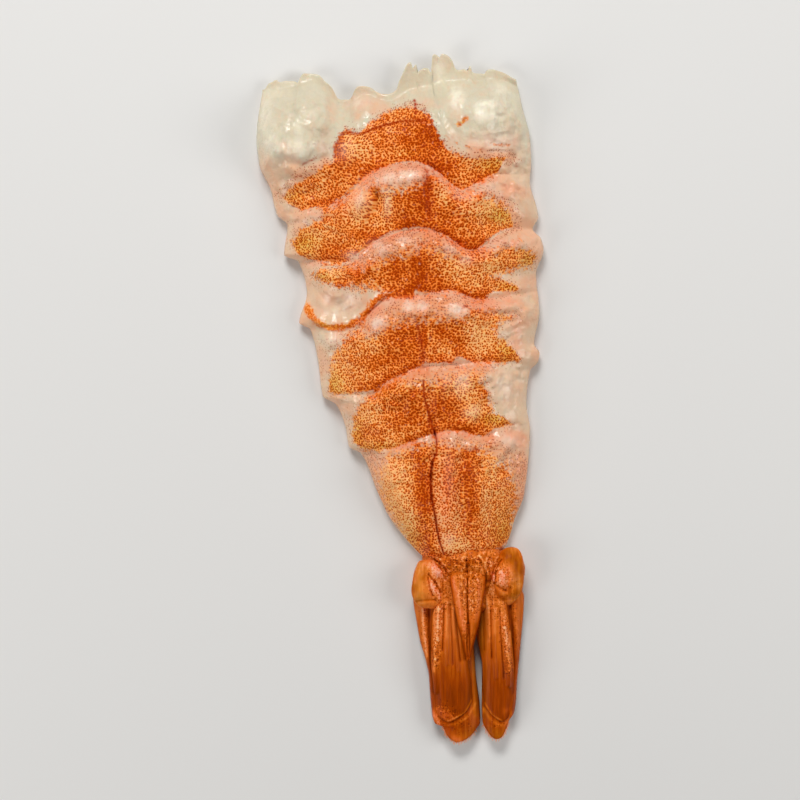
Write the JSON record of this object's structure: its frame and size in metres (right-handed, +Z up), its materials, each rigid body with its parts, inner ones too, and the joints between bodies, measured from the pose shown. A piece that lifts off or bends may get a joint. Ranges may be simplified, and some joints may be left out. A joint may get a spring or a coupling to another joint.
{
  "type": "shrimp sashimi",
  "caption": "Cooked sushi shrimp, peeled down to the tail, cut open along the belly and pressed flat, lying back up on its flat cut side.",
  "frame": {"origin": "middle of the shrimp's outline, on the surface that it lies on", "axes": "+Y towards the head end, +X to the right seen from above, +Z up through the back"},
  "size_m": [0.0416, 0.0998, 0.0078],
  "materials": {
    "flesh": "wet, slightly translucent cooked flesh, white at the head end and orange over the back",
    "shell": "wet, thin, dark orange tail shell"
  },
  "bodies": {
    "root": {"flesh": "flesh", "tail_blade_inner_left": "shell", "tail_blade_inner_right": "shell", "tail_blade_outer_left": "shell", "tail_blade_outer_right": "shell", "tail_knob_left": "shell", "tail_knob_right": "shell", "tail_middle_plate": "shell"}
  },
  "joints": []
}
